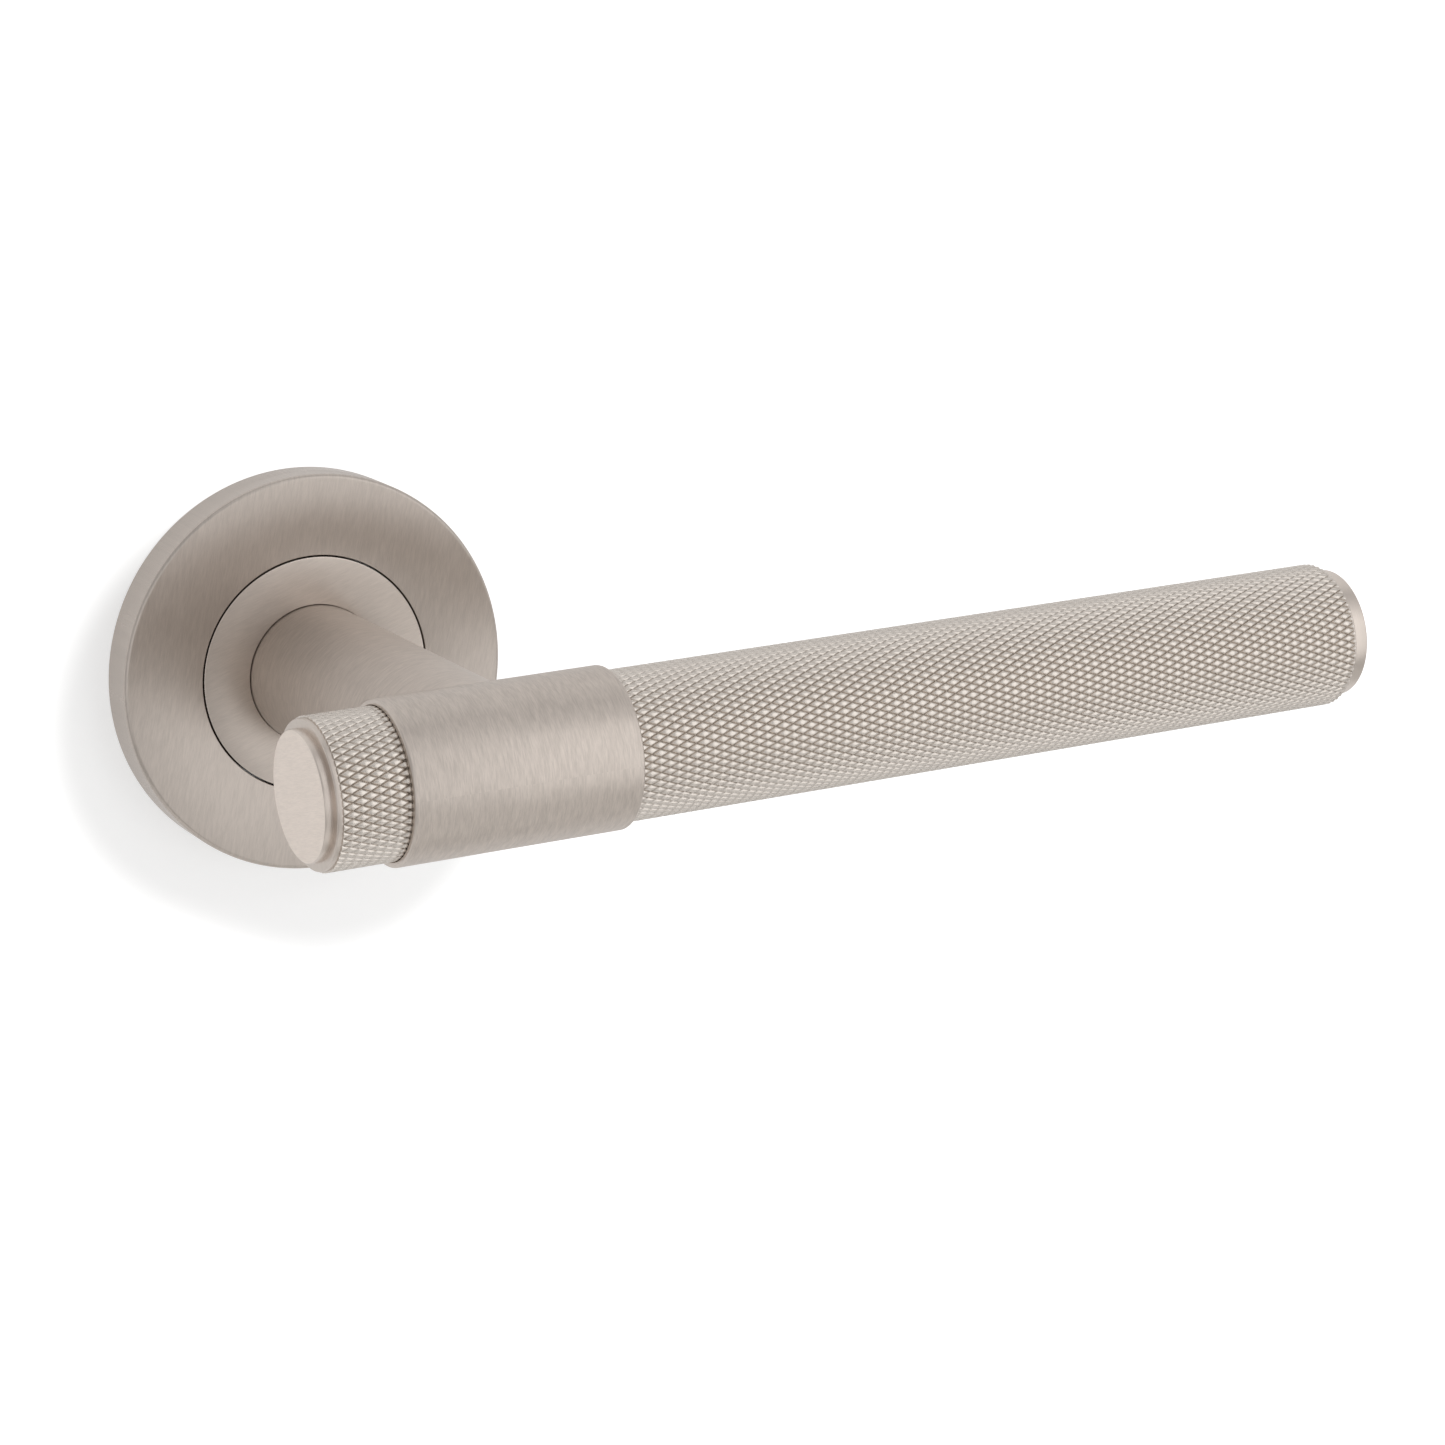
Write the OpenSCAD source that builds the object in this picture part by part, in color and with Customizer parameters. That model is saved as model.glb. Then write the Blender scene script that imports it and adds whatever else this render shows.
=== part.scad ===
// Sprung door lever handle: a round rose with a turning centre disc, a plain neck, and a
// knurled bar held across the neck by a collar. Millimetres.
// The origin is the centre of the rose on the face of the door. +Z is up, -Y points out of
// the door towards the hand, and +X runs along the long end of the bar.

/* [Rose] */
// Outside diameter of the rose
rose_d = 52; // [50:0.5:64]
// How far the rose stands off the door
rose_h = 6; // [5:0.1:9]
// Thickness of the rose cover, face and skirt
cover_wall = 1.2; // [0.8:0.1:1.5]
// Rounding of the front edge of the rose
cover_edge_r = 0.6; // [0.2:0.1:1]
// Diameter of the turning centre disc
disc_d = 30.6; // [26:0.1:38]
// Gap all round the centre disc
disc_gap = 0.2; // [0.15:0.05:0.4]
// Thickness of the centre disc
disc_t = 1.6; // [1.4:0.1:2.4]

/* [Neck and grip] */
// Diameter of the neck
neck_d = 18; // [15:0.5:19]
// Distance from the door face to the middle of the grip
projection = 60; // [48:1:80]
// Diameter of the grip over the points of the knurling
grip_d = 18.5; // [15:0.5:24]
// Grip overhang on the short side, from the neck's axis to the end of the tube
grip_near = 23.4; // [19:0.1:40]
// Grip overhang on the long side, from the neck's axis to the end of the tube
grip_far = 118.2; // [60:0.1:160]
// Bore of the grip tube
grip_bore = 14; // [10:0.5:14]
// Diameter of the plain land at each end of the knurling
land_d = 18; // [14.5:0.1:23]
// Length of the plain land at the short end
near_land = 0.7; // [0.3:0.1:2]
// Length of the plain land at the long end
far_land = 0.3; // [0.2:0.1:2]
// Length of the collar along the grip
collar_len = 29.6; // [20:0.1:40]
// How far the collar's middle sits toward the long end of the grip
collar_shift = 0.6; // [0:0.1:2]
// Wall of the collar at its mouths
collar_wall = 0.6; // [0.5:0.1:2]
// Gap between the knurling and the mouth of the collar
collar_gap = 0.15; // [0.05:0.05:0.4]

/* [End plugs] */
// Diameter of the plug head on the short side
near_plug_d = 15.8; // [12:0.1:17]
// How far that head stands out of the tube
near_plug_h = 1.1; // [0.5:0.1:4]
// Diameter of the plug head on the long side
far_plug_d = 16.4; // [12:0.1:17]
// How far that head stands out of the tube
far_plug_h = 2.3; // [0.5:0.1:4]
// Length of each plug inside the tube
plug_len = 8; // [4:1:16]

/* [Fixing to the door] */
// Thickness of the base plate
plate_t = 2.4; // [2:0.1:3]
// Distance between the two through bolts
bolt_centres = 38; // [38:1:41]
// Diameter of the through bolts
bolt_d = 4; // [3:0.5:5]
// Reach of the through bolts behind the door face
bolt_reach = 42; // [30:1:70]
// Diameter of the locating spigots round the through bolts
spigot_d = 7; // [6:0.1:7]
// Length of the locating spigots
spigot_len = 6; // [3:0.5:10]
// Distance between the two wood screws
screw_centres = 40; // [38:1:42]
// Diameter of the wood screws
screw_d = 3.5; // [3:0.5:4]
// Reach of the wood screws behind the door face
screw_reach = 22; // [15:1:30]
// Side of the square spindle
spindle_side = 8; // [7:0.5:8]
// Reach of the spindle behind the door face
spindle_reach = 55; // [40:1:100]
// Length of the spindle inside the neck, from the door face
spindle_depth = 22; // [16:1:30]
// Diameter of the grub screw that grips the spindle
grub_d = 5; // [4:0.5:6]

/* [Return spring] */
// Wire of the return spring
spring_wire = 1.3; // [1.1:0.05:1.4]
// Whole turns in the return spring
spring_turns = 3; // [2:1:4]
// How far the lever turns each way
swing = 45; // [30:1:50]

/* [Fits] */
// Radial clearance of the turning journal in its bush
running_fit = 0.05; // [0.02:0.01:0.1]
// Radial clearance of a part that slides in
slide_fit = 0.1; // [0.05:0.05:0.2]
// Clearance between parts that pass each other
pass_gap = 0.2; // [0.15:0.05:0.3]

/* [Hidden] */
fine = 128;
cut = 1;

// Rose, from the front face back
rose_r = rose_d / 2;
disc_r = disc_d / 2;
cover_in = rose_r - cover_wall;
plate_r = cover_in - pass_gap;
snap_wire = 0.8;
snap_h = plate_t / 2;
disc_back = rose_h - disc_t;

// Steps of the neck that carry the disc, the driver and the journal
neck_r = neck_d / 2;
seat_step = 0.6;
disc_seat_r = neck_r - seat_step + pass_gap / 2;
driver_seat_r = disc_seat_r - pass_gap;
driver_flat = driver_seat_r - 0.5;
journal_r = driver_flat - running_fit;
seat_h = rose_h - seat_step;

// Bush, spring, driver and pocket, from the journal outwards
bush_in = journal_r + running_fit;
bush_out = bush_in + 1.5;
coil_in = bush_out + 0.65;
coil_r = coil_in + spring_wire / 2;
coil_out = coil_in + spring_wire;
driver_r = coil_out - 0.05;
tab_in = coil_out + 0.3;
tab_out = tab_in + 0.75;
rib_in = tab_out + pass_gap;
pocket_r = rib_in + 0.7;
housing_r = pocket_r + 1.3;
tab_half = 2.2;
leg_off = tab_half + 0.1 + spring_wire / 2;
leg_bend = 1;

// The same pieces along the axis, from the front back
ring_t = 0.45;
ring_top = disc_back - 0.05;
rim_top = ring_top - ring_t;
driver_t = 1.6;
driver_top = disc_back - 0.9;
driver_back = driver_top - driver_t;
bush_top = driver_back - pass_gap;
coil_pitch = spring_wire + 0.05;
coil_len = coil_pitch * spring_turns;
coil_top = bush_top - spring_wire / 2;
coil_foot = coil_top - coil_len;
floor_top = coil_foot - spring_wire / 2 - 0.1;
floor_t = 1.6;
floor_back = floor_top - floor_t;
bush_flange_t = 0.6;
bush_back = floor_back - bush_flange_t;
washer_h = 0.65;
washer_back = bush_back - washer_h;
clip_t = 1;
clip_back = washer_back - 0.05 - clip_t;
clip_groove_r = journal_r - 0.6;
clip_r = journal_r + 2.2;
hub_back = clip_back - 1;

// Stops on the driver and in the pocket
stop_r = 0.8;
stop_at = (coil_out + pocket_r) / 2;
lug_half = 2.6;
stop_slack = 0.5;
stop_angle = swing + asin(lug_half / stop_at) + asin(stop_r / stop_at) + stop_slack;
stop_top = driver_top - 0.1;

// Countersunk heads, and the plain shanks that carry the threads clear of the plate
bolt_head_d = 2 * bolt_d;
screw_head_d = 1.9 * screw_d;
bolt_plain = plate_t + spigot_len + 0.5;
screw_plain = plate_t + 1;
plain_share = 0.88;

// Grip and collar
knurl_r = grip_d / 2;
land_r = land_d / 2;
bore_r = grip_bore / 2;
collar_in = knurl_r + collar_gap;
collar_r = collar_in + collar_wall;
hold_r = collar_in - running_fit / 2;
collar_half = collar_len / 2;
edge = 0.35;
stud_d = 8;
stud_back = projection - collar_r - 6;
stud_front = projection + 3;
pin_r = 1.25;
pin_x = stud_d / 2 + pin_r + 1.2;
pin_back = projection - collar_r - 3;
pin_front = projection - bore_r;
core_half = 12;
grub_h = rose_h + 8;
socket_half = spindle_side / 2 + slide_fit / 2;
socket_end = spindle_depth + 1;

nickel = [0.72, 0.68, 0.64];
steel = [0.62, 0.63, 0.65];
bronze = [0.66, 0.5, 0.3];
nylon = [0.9, 0.89, 0.84];
spring_steel = [0.35, 0.36, 0.38];

// Local +Z points out of the door, from h in front of the door face
module out(h) { translate([0, -h, 0]) rotate([90, 0, 0]) children(); }

// Local +Z runs along the grip, from x beside the neck's axis
module along_grip(x) { translate([x, -projection, 0]) rotate([0, 90, 0]) children(); }

module disc(r, from, to) {
    out(from) cylinder(r = r, h = to - from, $fn = fine);
}

module bored(r, bore, from, to) {
    difference() {
        disc(r, from, to);
        disc(bore, from - cut, to + cut);
    }
}

module rod(r, from, to) {
    along_grip(from) cylinder(r = r, h = to - from, $fn = fine);
}

module hex_socket(across, depth) {
    cylinder(r = across / sqrt(3), h = depth, $fn = 6);
}

// Two copies, one on each side of the axis, half of centres away, along dir
module pair(centres, dir) {
    for (side = [-1, 1]) translate(side * centres / 2 * dir) children();
}

// Countersunk fastener: local +Z points out of its head, which is flush at 0, and the thread
// starts below a plain shank
module countersunk(d, head_d, len, tip, plain) {
    plain_d = plain_share * d;
    head_h = (head_d - plain_d) / 2;
    difference() {
        union() {
            translate([0, 0, -head_h]) cylinder(r1 = plain_d / 2, r2 = head_d / 2, h = head_h, $fn = 64);
            translate([0, 0, -plain]) cylinder(d = plain_d, h = plain - head_h, $fn = 64);
            translate([0, 0, -len + tip]) cylinder(d = d, h = len - tip - plain, $fn = 64);
            translate([0, 0, -len]) cylinder(r1 = d / 8, r2 = d / 2, h = tip, $fn = 64);
        }
        translate([0, 0, -head_h * 0.8]) hex_socket(d * 0.6, head_h);
    }
}

// Hole for the same fastener
module countersink(d, head_d) {
    head_h = (head_d - d) / 2;
    translate([0, 0, -head_h - 0.1]) cylinder(r1 = d / 2 + slide_fit, r2 = head_d / 2 + slide_fit,
        h = head_h + 0.1, $fn = 64);
}

module rounded_disc_profile(r, h, round_r) {
    difference() {
        square([r, h]);
        translate([r - round_r, h - round_r]) difference() {
            square(round_r + cut);
            circle(round_r, $fn = 48);
        }
    }
}

module rose_cover() {
    color(nickel) difference() {
        out(0) rotate_extrude($fn = fine) rounded_disc_profile(rose_r, rose_h, cover_edge_r);
        disc(cover_in, -cut, rose_h - cover_wall);
        disc(disc_r + disc_gap, 0, rose_h + cut);
        snap_ring_space();
        // Slot at the foot of the skirt for a lever to lift the cover off
        translate([0, -0.4, -rose_r]) cube([6, 0.8, 2.5 * cover_wall], center = true);
    }
}

module snap_ring_space() {
    out(snap_h) rotate_extrude($fn = fine)
        translate([plate_r + pass_gap / 2, 0]) circle(d = snap_wire + 0.05, $fn = 32);
}

module cover_snap_ring() {
    opening = 14;
    color(spring_steel) out(snap_h) rotate([0, 0, 90 + opening / 2])
        rotate_extrude(angle = 360 - opening, $fn = fine)
        translate([plate_r + pass_gap / 2, 0]) circle(d = snap_wire, $fn = 32);
}

module base_plate() {
    color(steel) difference() {
        union() {
            disc(plate_r, 0, plate_t);
            disc(housing_r, floor_back, rim_top);
            pair(bolt_centres, [1, 0, 0]) disc(spigot_d / 2, -spigot_len, plate_t / 2);
        }
        difference() {
            disc(pocket_r, floor_top, rose_h);
            // Rib that holds whichever leg of the spring isn't being pushed
            translate([-tab_half, -rim_top, rib_in]) cube([2 * tab_half, rim_top - floor_top, 2]);
        }
        disc(bush_out, floor_back - cut, floor_top + cut);
        snap_ring_space();
        pair(bolt_centres, [1, 0, 0]) {
            disc(bolt_d / 2 + slide_fit, -spigot_len - cut, plate_t);
            out(plate_t) countersink(bolt_d, bolt_head_d);
        }
        pair(screw_centres, [0, 0, 1]) {
            disc(screw_d / 2 + slide_fit, -cut, plate_t);
            out(plate_t) countersink(screw_d, screw_head_d);
        }
        stop_pin_pair(stop_r);
    }
}

module fixing_bolts() {
    color(steel) pair(bolt_centres, [1, 0, 0])
        out(plate_t) countersunk(bolt_d, bolt_head_d, plate_t + bolt_reach, 0.6, bolt_plain);
}

module wood_screws() {
    color(steel) pair(screw_centres, [0, 0, 1])
        out(plate_t) countersunk(screw_d, screw_head_d, plate_t + screw_reach, screw_d * 1.5,
            screw_plain);
}

module pivot_bush() {
    color(bronze) {
        difference() {
            union() {
                disc(bush_out, bush_back, bush_top);
                disc(bush_out + 1.8, bush_back, floor_back);
            }
            disc(bush_in, bush_back - cut, bush_top + cut);
        }
    }
}

module thrust_ring() {
    color(nylon) bored(housing_r + pass_gap, pocket_r + slide_fit, rim_top, ring_top);
}

module stop_pin_pair(r) {
    for (side = [-1, 1]) out(floor_back) rotate([0, 0, -90 + side * stop_angle])
        translate([stop_at, 0, 0]) cylinder(r = r, h = stop_top - floor_back, $fn = 48);
}

module stop_pins() { color(steel) stop_pin_pair(stop_r); }

// Centre line of the spring in the plane of the rose: down one leg, round the turns, up the other
function bend_xy(side, a, foot) =
    [side * (leg_off - leg_bend + leg_bend * cos(a)), foot + leg_bend - leg_bend * sin(a)];
coil_start = acos((leg_off - leg_bend) / coil_r);
coil_sweep = 360 * spring_turns + 180 - 2 * coil_start;
coil_foot_y = coil_r * sin(coil_start);
leg_tip = sqrt(pow(pocket_r - 0.2, 2) - pow(leg_off + spring_wire / 2, 2));
coil_steps = 22 * spring_turns;
leg_down = [[leg_off, leg_tip, coil_foot],
    for (a = [0, 30, 60]) [bend_xy(1, a, coil_foot_y).x, bend_xy(1, a, coil_foot_y).y, coil_foot]];
turns = [for (i = [0 : coil_steps]) let (part = i / coil_steps, a = coil_start + part * coil_sweep)
    [coil_r * cos(a), coil_r * sin(a), coil_foot + part * coil_len]];
leg_up = [for (a = [60, 30, 0]) [bend_xy(-1, a, coil_foot_y).x, bend_xy(-1, a, coil_foot_y).y,
    coil_top], [-leg_off, leg_tip, coil_top]];
spring_line = concat(leg_down, turns, leg_up);

// Round wire swept along a list of points that never runs along Z
module wire(line, r, sides) {
    last = len(line) - 1;
    function heading(i) = line[min(i + 1, last)] - line[max(i - 1, 0)];
    function across(i) = let (c = cross(heading(i), [0, 0, 1])) c / norm(c);
    function upward(i) = let (c = cross(across(i), heading(i))) c / norm(c);
    points = [for (i = [0 : last]) for (k = [0 : sides - 1]) let (a = 360 * k / sides)
        line[i] + r * (cos(a) * across(i) + sin(a) * upward(i))];
    walls = [for (i = [0 : last - 1]) for (k = [0 : sides - 1]) let (n = (k + 1) % sides)
        [i * sides + k, i * sides + n, (i + 1) * sides + n, (i + 1) * sides + k]];
    ends = [[for (k = [sides - 1 : -1 : 0]) k], [for (k = [0 : sides - 1]) last * sides + k]];
    polyhedron(points, concat(walls, ends), convexity = 8);
}

module return_spring() {
    color(spring_steel) out(0) wire(spring_line, spring_wire / 2, 8);
}

// Coned washer that takes up the end play of the journal
module spring_washer() {
    t = 0.35;
    inner = journal_r + pass_gap;
    outer = bush_out + 1.6;
    color(spring_steel) out(washer_back) rotate_extrude($fn = fine)
        polygon([[inner, 0], [inner, t], [outer, washer_h], [outer, washer_h - t]]);
}

module centre_disc() {
    color(nickel) difference() {
        union() {
            out(disc_back) rotate_extrude($fn = fine)
                rounded_disc_profile(disc_r, disc_t, disc_gap / 2);
            // Rim behind the cover that runs on the thrust ring whatever the disc's size
            disc(housing_r + pass_gap, disc_back, disc_back + 0.3);
        }
        disc(disc_seat_r, disc_back - cut, rose_h + cut);
        disc(neck_r + slide_fit, seat_h, rose_h + cut);
    }
}

module driver_seat(from, to) {
    intersection() {
        disc(driver_seat_r, from, to);
        translate([-driver_flat, -to, -neck_r]) cube([2 * driver_flat, to - from, neck_d]);
    }
}

module neck() {
    color(nickel) difference() {
        union() {
            disc(neck_r, seat_h, projection - 2);
            disc(disc_seat_r, disc_back, seat_h + 0.1);
            driver_seat(driver_back, disc_back + 0.1);
            disc(journal_r, hub_back, driver_back + 0.1);
        }
        rod(collar_r, -collar_half - neck_d, collar_half + neck_d);
        bored(neck_d, clip_groove_r, clip_back, clip_back + clip_t);
        translate([-socket_half, -socket_end, -socket_half])
            cube([2 * socket_half, socket_end - hub_back + cut, 2 * socket_half]);
        translate([0, -grub_h, -neck_r - cut]) cylinder(d = grub_d, h = neck_r + cut, $fn = 64);
        disc(stud_d / 2, stud_back - 0.5, projection);
        pair(2 * pin_x, [1, 0, 0]) disc(pin_r, pin_back, projection);
    }
}

module driver_plate() {
    color(steel) {
        difference() {
            union() {
                disc(driver_r, driver_back, driver_top);
                // Lug that meets the stop pins
                intersection() {
                    disc(pocket_r - 0.3, driver_back, driver_top);
                    translate([-lug_half, -driver_top, -pocket_r])
                        cube([2 * lug_half, driver_t, pocket_r]);
                }
                // Tab that pushes the spring's legs
                intersection() {
                    bored(tab_out, tab_in, floor_top + pass_gap, driver_top);
                    translate([-tab_half, -driver_top, 0])
                        cube([2 * tab_half, driver_top - floor_top - pass_gap, pocket_r]);
                }
                intersection() {
                    disc(tab_out, driver_back, driver_top);
                    translate([-tab_half, -driver_top, 0])
                        cube([2 * tab_half, driver_t, pocket_r]);
                }
            }
            driver_seat(driver_back - cut, driver_top + cut);
        }
    }
}

module retaining_ring() {
    ear_x = 2.6;
    ear_z = -(clip_r - 0.3);
    color(spring_steel) difference() {
        union() {
            disc(clip_r, clip_back, clip_back + clip_t);
            pair(2 * ear_x, [1, 0, 0]) translate([0, 0, ear_z]) disc(1.5, clip_back, clip_back + clip_t);
        }
        disc(clip_groove_r, clip_back - cut, clip_back + clip_t + cut);
        translate([-1.1, -clip_back - clip_t - cut, -2 * clip_r])
            cube([2.2, clip_t + 2 * cut, 2 * clip_r]);
        pair(2 * ear_x, [1, 0, 0]) translate([0, 0, ear_z])
            disc(0.6, clip_back - cut, clip_back + clip_t + cut);
    }
}

module square_spindle() {
    half = spindle_side / 2;
    bevel = 0.8;
    color(steel) intersection() {
        translate([-half, -spindle_depth, -half])
            cube([spindle_side, spindle_depth + spindle_reach, spindle_side]);
        // Bevel the corners at both ends
        union() {
            disc(half * sqrt(2) + cut, bevel - spindle_reach, spindle_depth - bevel);
            out(-spindle_reach) cylinder(r1 = half * sqrt(2) - bevel, r2 = half * sqrt(2) + cut,
                h = bevel, $fn = 64);
            out(spindle_depth - bevel) cylinder(r1 = half * sqrt(2) + cut, r2 = half * sqrt(2) - bevel,
                h = bevel, $fn = 64);
        }
    }
}

module spindle_grub_screw() {
    foot = -spindle_side / 2;
    length = neck_r + foot - 0.6;
    color(steel) translate([0, -grub_h, foot - length]) difference() {
        cylinder(d = grub_d, h = length, $fn = 64);
        translate([0, 0, -cut]) hex_socket(grub_d / 2, cut + 2);
    }
}

module collar() {
    color(nickel) difference() {
        along_grip(collar_shift - collar_half) rotate_extrude($fn = fine) polygon([
            [collar_in, 0], [collar_r - edge, 0], [collar_r, edge],
            [collar_r, collar_len - edge], [collar_r - edge, collar_len], [collar_in, collar_len]]);
        disc(stud_d / 2 + slide_fit, projection - collar_r - cut, projection);
        pair(2 * pin_x, [1, 0, 0]) disc(pin_r, projection - collar_r - cut, projection);
    }
}

module grip_tube() {
    seat_half = collar_half - 2;
    color(nickel) difference() {
        union() {
            rod(land_r, -grip_near, grip_far);
            rod(knurl_r, -grip_near + near_land, grip_far - far_land);
            rod(hold_r, collar_shift - seat_half, collar_shift + seat_half);
        }
        rod(bore_r, -grip_near - cut, grip_far + cut);
        disc(stud_d / 2 + slide_fit, projection - collar_r - cut, projection);
        pair(2 * pin_x, [1, 0, 0]) disc(pin_r, projection - collar_r - cut, projection);
    }
}

module grip_core() {
    color(steel) difference() {
        rod(bore_r, -core_half, core_half);
        disc(stud_d / 2, projection - bore_r - cut, stud_front + 0.5);
    }
}

module joining_stud() {
    color(steel) disc(stud_d / 2, stud_back, stud_front);
}

module locating_pins() {
    color(steel) pair(2 * pin_x, [1, 0, 0]) disc(pin_r, pin_back, pin_front - 0.8);
}

// Plug with a round-edged head: local +Z points out of the end of the tube, head seat at 0
module end_plug(head_d, head_h) {
    rotate_extrude($fn = fine) rounded_disc_profile(head_d / 2, head_h, 0.25);
    translate([0, 0, -plug_len]) cylinder(r1 = bore_r - 0.5, r2 = bore_r, h = 0.5, $fn = fine);
    translate([0, 0, 0.5 - plug_len]) cylinder(r = bore_r, h = plug_len - 0.5 + 0.1, $fn = fine);
}

module near_end_plug() {
    color(nickel) along_grip(-grip_near) mirror([0, 0, 1]) end_plug(near_plug_d, near_plug_h);
}

module far_end_plug() {
    color(nickel) along_grip(grip_far) end_plug(far_plug_d, far_plug_h);
}

rose_cover();
cover_snap_ring();
base_plate();
fixing_bolts();
wood_screws();
pivot_bush();
thrust_ring();
stop_pins();
return_spring();
spring_washer();
centre_disc();
neck();
driver_plate();
retaining_ring();
square_spindle();
spindle_grub_screw();
collar();
grip_tube();
grip_core();
joining_stud();
locating_pins();
near_end_plug();
far_end_plug();
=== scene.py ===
import math

import bmesh
import bpy
from mathutils import Matrix, Vector


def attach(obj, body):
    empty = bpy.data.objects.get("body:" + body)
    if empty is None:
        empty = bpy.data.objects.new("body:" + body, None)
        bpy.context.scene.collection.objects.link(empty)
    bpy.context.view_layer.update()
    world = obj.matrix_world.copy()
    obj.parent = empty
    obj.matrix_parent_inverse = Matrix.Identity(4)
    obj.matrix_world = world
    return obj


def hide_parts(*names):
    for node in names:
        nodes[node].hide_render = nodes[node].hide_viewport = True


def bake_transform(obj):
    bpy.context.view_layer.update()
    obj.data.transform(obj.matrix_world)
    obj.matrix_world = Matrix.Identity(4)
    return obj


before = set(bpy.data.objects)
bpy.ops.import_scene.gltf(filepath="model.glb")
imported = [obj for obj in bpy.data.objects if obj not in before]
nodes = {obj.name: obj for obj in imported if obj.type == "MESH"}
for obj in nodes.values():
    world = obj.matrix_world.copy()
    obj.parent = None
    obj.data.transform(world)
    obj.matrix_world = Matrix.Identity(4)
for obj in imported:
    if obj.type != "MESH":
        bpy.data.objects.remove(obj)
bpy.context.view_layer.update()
mm = 0.001


# Stage: wall, floor, lights and camera

cameraSetup = {
    "target": (0.04634, -0.030, -0.00801),
    "azimuth": -27.34,      # degrees, 0 looks along +Y
    "elevation": 14.67,
    "roll": -1.58,
    "distance": 0.55177,
    "lens": 106.28,
    "sensor": 36,
    "clip": (0.01, 20),     # nearest and farthest, metres
}

wallSetup = {
    "width": 3.0,
    "height": 2.4,
    "behind": 0.0001,
    "paint": (0.62, 0.62, 0.62),
    "glow": 0.34,           # light the wall gives off to everything
    "lift": 0.46,           # lifts the wall to clean white for the camera only
    # painted soft shadow low and left of the rose, taken out of the camera-only lift: centre (x, z), radius
    # and fade, in mm
    "shadows": [((-6.4, -6.2), 27.8, 3.6), ((4.0, -16.0), 24.0, 4.0)],
    "shadowDepth": 0.72,    # share of the lift the shadow takes away
}

floorSetup = {
    "drop": 0.80,
    "depth": 2.4,
    "paint": (0.72, 0.715, 0.70),
}

# direction the light comes from (degrees round and up), distance, size across and up in metres,
# and radiance of each softbox; all face the lever
softboxes = {
    "tallRight": ((31, 4), 0.80, (0.50, 1.40), 0.76),
    "below": ((10, -55), 0.80, (0.42, 0.42), 0.30),
    "front": ((3, 0), 0.80, (0.42, 0.42), 0.20),
    "frontLeft": ((-32, -5), 0.80, (0.42, 0.60), 0.50),
    "topRight": ((45, 58), 0.80, (0.42, 0.42), 0.24),
    "top": ((0, 58), 0.80, (0.42, 0.42), 0.20),
    "farRight": ((55, 28), 0.80, (0.42, 0.42), 0.20),
    "lowRight": ((60, -55), 0.80, (0.42, 0.42), 0.14),
    "lowLeft": ((-45, -55), 0.80, (0.42, 0.42), 0.40),
    "rightSide": ((78, 0), 0.80, (0.42, 0.60), 0.30),
}
softboxAim = (0.04, -0.04, 0.0)
leastGap = 0.05             # how far in front of the wall a softbox stays, metres
worldGlow = (0.52, 0.52, 0.52)


class Wire:
    # A socket that takes part in ordinary arithmetic
    def __init__(self, finish, socket):
        self.finish = finish
        self.socket = socket

    def __add__(self, other):
        return self.finish.work("ADD", self, other)

    def __radd__(self, other):
        return self.finish.work("ADD", other, self)

    def __sub__(self, other):
        return self.finish.work("SUBTRACT", self, other)

    def __rsub__(self, other):
        return self.finish.work("SUBTRACT", other, self)

    def __mul__(self, other):
        return self.finish.work("MULTIPLY", self, other)

    def __rmul__(self, other):
        return self.finish.work("MULTIPLY", other, self)

    def __abs__(self):
        return self.finish.work("ABSOLUTE", self)


class Finish:
    # A material and its nodes
    def __init__(self, name):
        self.material = bpy.data.materials.new(name)
        self.material.use_nodes = True
        self.tree = self.material.node_tree
        self.tree.nodes.clear()

    def put(self, kind, settings=None, inputs=None, output=0):
        made = self.tree.nodes.new("ShaderNode" + kind)
        for key, value in (settings or {}).items():
            setattr(made, key, value)
        for key, value in (inputs or {}).items():
            if isinstance(value, Wire):
                self.tree.links.new(value.socket, made.inputs[key])
            else:
                made.inputs[key].default_value = value
        return Wire(self, made.outputs[output]) if made.outputs else None

    def work(self, operation, *values):
        return self.put("Math", {"operation": operation}, dict(enumerate(values)))

    def close(self, shader):
        self.put("OutputMaterial", None, {"Surface": shader})
        return self.material

    def place(self):
        return self.put("TexCoord", output="Object")

    def along(self, direction):
        return self.put("VectorMath", {"operation": "DOT_PRODUCT"},
                        {0: self.place(), 1: direction}, "Value")

    def noise(self, where, scale=1.0, detail=2.0, rough=0.5):
        return self.put("TexNoise", {"noise_dimensions": "3D"},
                        {"Vector": where, "Scale": scale, "Detail": detail, "Roughness": rough})

    def vector(self, x, y, z):
        return self.put("CombineXYZ", None, {0: x, 1: y, 2: z})

    def ramp(self, value, low, high, toHigh=1.0):
        return self.put("MapRange", {"interpolation_type": "SMOOTHSTEP"},
                        {0: value, 1: low, 2: high, 3: 0.0, 4: toHigh})

    def blend(self, share, first, second):
        # Colour output of a Mix node set to colour
        return self.put("Mix", {"data_type": "RGBA"}, {0: share, 6: first, 7: second}, 2)


def colour(rgb, gain=1.0):
    return tuple(min(1.0, part * gain) for part in rgb) + (1.0,)


def bearing(azimuth, elevation):
    # Unit vector; 0 degrees round points straight out of the door
    turn, rise = math.radians(azimuth), math.radians(elevation)
    return Vector((math.sin(turn) * math.cos(rise), -math.cos(turn) * math.cos(rise), math.sin(rise)))


def aim(thing, place, target):
    thing.location = place
    thing.rotation_mode = "QUATERNION"
    thing.rotation_quaternion = (Vector(target) - Vector(place)).to_track_quat("-Z", "Y")


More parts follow.
